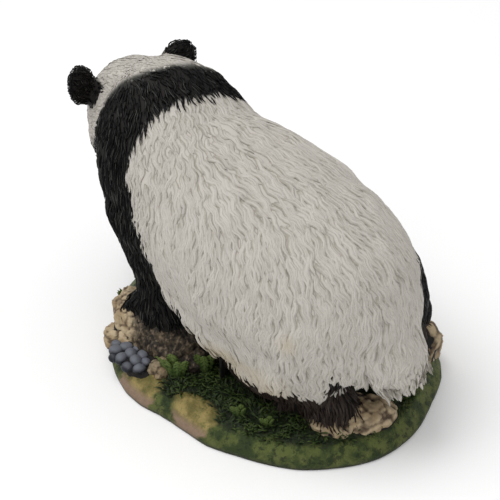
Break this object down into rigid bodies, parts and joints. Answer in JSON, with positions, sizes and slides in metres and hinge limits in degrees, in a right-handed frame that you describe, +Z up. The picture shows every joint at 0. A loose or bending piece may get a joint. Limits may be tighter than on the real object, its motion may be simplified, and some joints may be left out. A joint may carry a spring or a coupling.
{
  "type": "panda figurine",
  "caption": "Hand-painted cast-resin figurine of a giant panda walking over an oval grassy base with rocks, pebbles and leaf tufts.",
  "frame": {"origin": "middle of the flat underside of the oval base, under the panda's chest and belly", "axes": "+Z up out of the base, -Y the way the panda faces along the base's long axis, +X to the panda's left"},
  "size_m": [0.1357, 0.2175, 0.1318],
  "materials": {
    "painted_resin": "matt hand-painted cold-cast polyester resin"
  },
  "bodies": {
    "root": {"panda_figurine": "painted_resin"}
  },
  "joints": []
}
